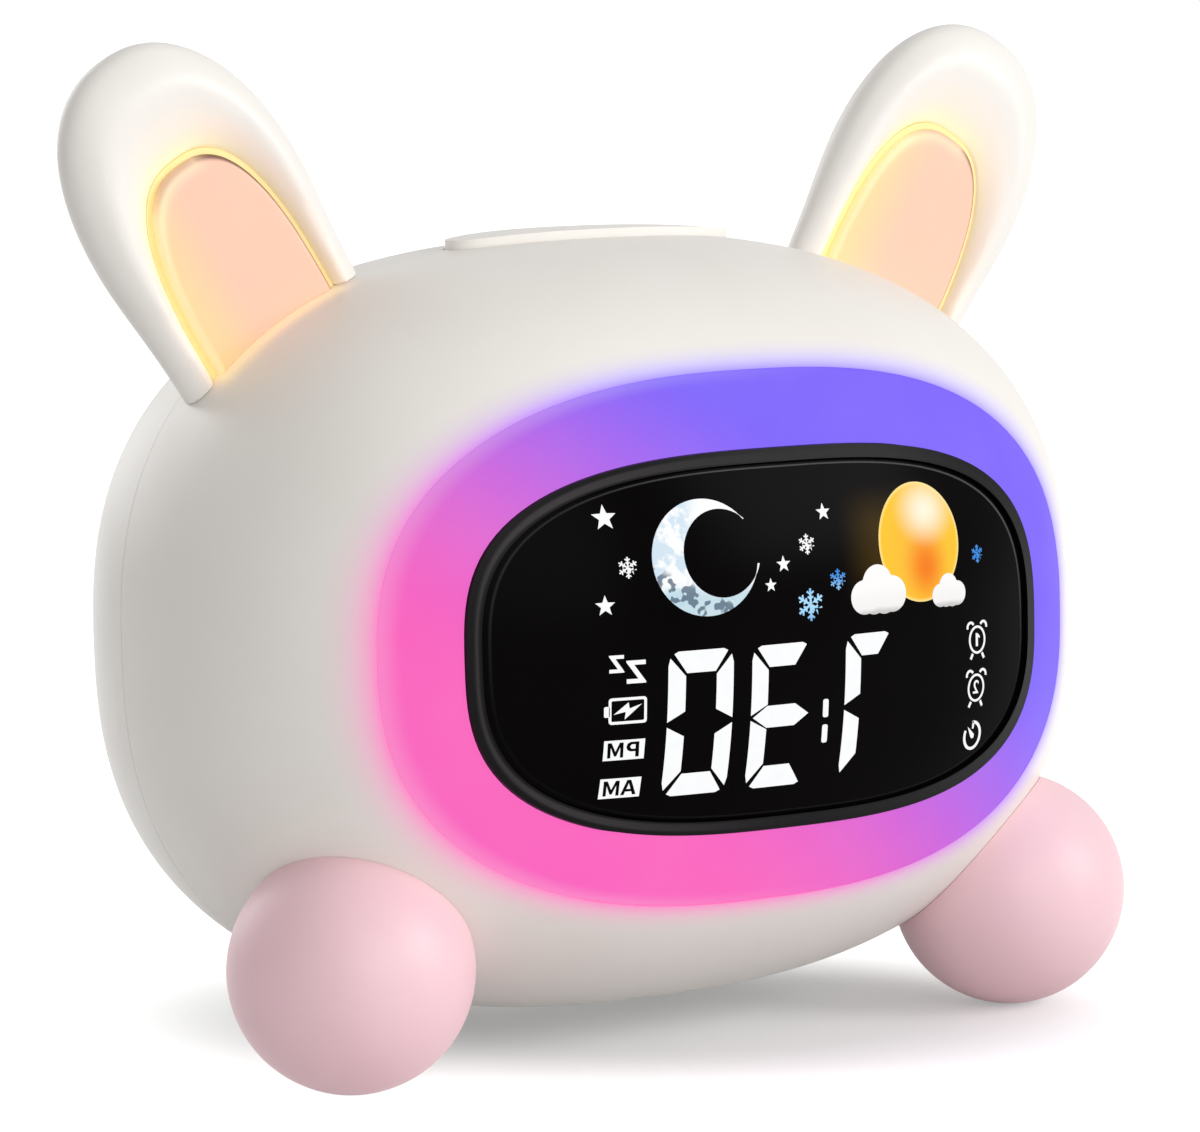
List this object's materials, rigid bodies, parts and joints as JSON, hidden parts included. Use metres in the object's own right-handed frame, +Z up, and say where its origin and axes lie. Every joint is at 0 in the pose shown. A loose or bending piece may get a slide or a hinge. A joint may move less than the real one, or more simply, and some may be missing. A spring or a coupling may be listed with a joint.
{
  "type": "kids alarm clock with night light",
  "caption": "Child's alarm clock and night light: rounded head with lit ears, a lit ring round a curved dark display, ball feet in front, a long button on top and setting keys behind.",
  "frame": {"origin": "middle of the whole clock's footprint box, on the surface it stands on", "axes": "+X to the right seen from the front, +Y to the rear (the display faces -Y), +Z up"},
  "size_m": [0.1702, 0.1056, 0.1463],
  "materials": {
    "shell": "satin moulded plastic, warm white",
    "ring_diffuser": "milky diffuser, smooth",
    "bezel": "smooth dark grey",
    "lens": "polished, near black",
    "display_film": "printed film",
    "ear_panel": "fine satin, peach",
    "ear_guide": "milky light guide",
    "foot_ball": "satin, pale pink",
    "foot_rubber": "soft matt rubber",
    "inner_plastic": "matt moulded plastic, white",
    "circuit_board": "green board",
    "led": "clear yellow-white",
    "switch_plastic": "matt black",
    "rear_panel": "fine satin, warm white",
    "key": "soft touch, pale pink",
    "socket_metal": "plain bright sheet",
    "speaker_paper": "matt black paper",
    "magnet_steel": "plated",
    "cell_wrap": "shrink wrap, blue",
    "screw_steel": "zinc plated"
  },
  "bodies": {
    "clock": {"front_shell": "shell", "rear_shell": "shell", "left_ear_shell": "shell", "right_ear_shell": "shell", "light_ring": "ring_diffuser", "display_bezel": "bezel", "display_lens": "lens", "display_film": "display_film", "left_ear_panel": "ear_panel", "right_ear_panel": "ear_panel", "left_ear_light_guide": "ear_guide", "right_ear_light_guide": "ear_guide", "left_foot_ball": "foot_ball", "right_foot_ball": "foot_ball", "left_rear_foot": "foot_rubber", "right_rear_foot": "foot_rubber", "light_carrier": "inner_plastic", "display_segment_block": "inner_plastic", "battery_cradle": "inner_plastic", "speaker_frame": "inner_plastic", "ring_light_board": "circuit_board", "display_board": "circuit_board", "left_ear_light_board": "circuit_board", "right_ear_light_board": "circuit_board", "top_switch_board": "circuit_board", "main_board": "circuit_board", "ring_leds": "led", "display_leds": "led", "ear_leds": "led", "top_switch": "switch_plastic", "key_switches": "switch_plastic", "rear_panel": "rear_panel", "charging_socket": "socket_metal", "speaker_cone": "speaker_paper", "speaker_magnet": "magnet_steel", "battery_cell": "cell_wrap", "shell_screws": "screw_steel", "carrier_screws": "screw_steel", "ring_board_screws": "screw_steel", "display_screws": "screw_steel", "ear_screws": "screw_steel", "foot_ball_screws": "screw_steel", "top_board_screws": "screw_steel", "main_board_screws": "screw_steel", "cradle_screws": "screw_steel"},
    "top_button": {"top_button": "shell"},
    "time_set_key": {"time_set_key": "key"},
    "alarm_set_key": {"alarm_set_key": "key"},
    "sleep_timer_key": {"sleep_timer_key": "key"},
    "down_key": {"down_key": "key"},
    "volume_key": {"volume_key": "key"},
    "up_key": {"up_key": "key"}
  },
  "joints": [
    {"name": "top_button_press", "type": "slide", "parent": "clock", "child": "top_button", "axis": [0, -0.0523, -0.9986], "range_m": [0, 0.001], "stiffness_N_per_m": 900, "springref_m": -0.0008},
    {"name": "time_set_key_press", "type": "slide", "parent": "clock", "child": "time_set_key", "axis": [0, -0.9986, 0.0523], "range_m": [0, 0.0006], "stiffness_N_per_m": 1500, "springref_m": -0.0006},
    {"name": "alarm_set_key_press", "type": "slide", "parent": "clock", "child": "alarm_set_key", "axis": [0, -0.9986, 0.0523], "range_m": [0, 0.0006], "stiffness_N_per_m": 1500, "springref_m": -0.0006},
    {"name": "sleep_timer_key_press", "type": "slide", "parent": "clock", "child": "sleep_timer_key", "axis": [0, -0.9986, 0.0523], "range_m": [0, 0.0006], "stiffness_N_per_m": 1500, "springref_m": -0.0006},
    {"name": "down_key_press", "type": "slide", "parent": "clock", "child": "down_key", "axis": [0, -0.9986, 0.0523], "range_m": [0, 0.0006], "stiffness_N_per_m": 1500, "springref_m": -0.0006},
    {"name": "volume_key_press", "type": "slide", "parent": "clock", "child": "volume_key", "axis": [0, -0.9986, 0.0523], "range_m": [0, 0.0006], "stiffness_N_per_m": 1500, "springref_m": -0.0006},
    {"name": "up_key_press", "type": "slide", "parent": "clock", "child": "up_key", "axis": [0, -0.9986, 0.0523], "range_m": [0, 0.0006], "stiffness_N_per_m": 1500, "springref_m": -0.0006}
  ]
}
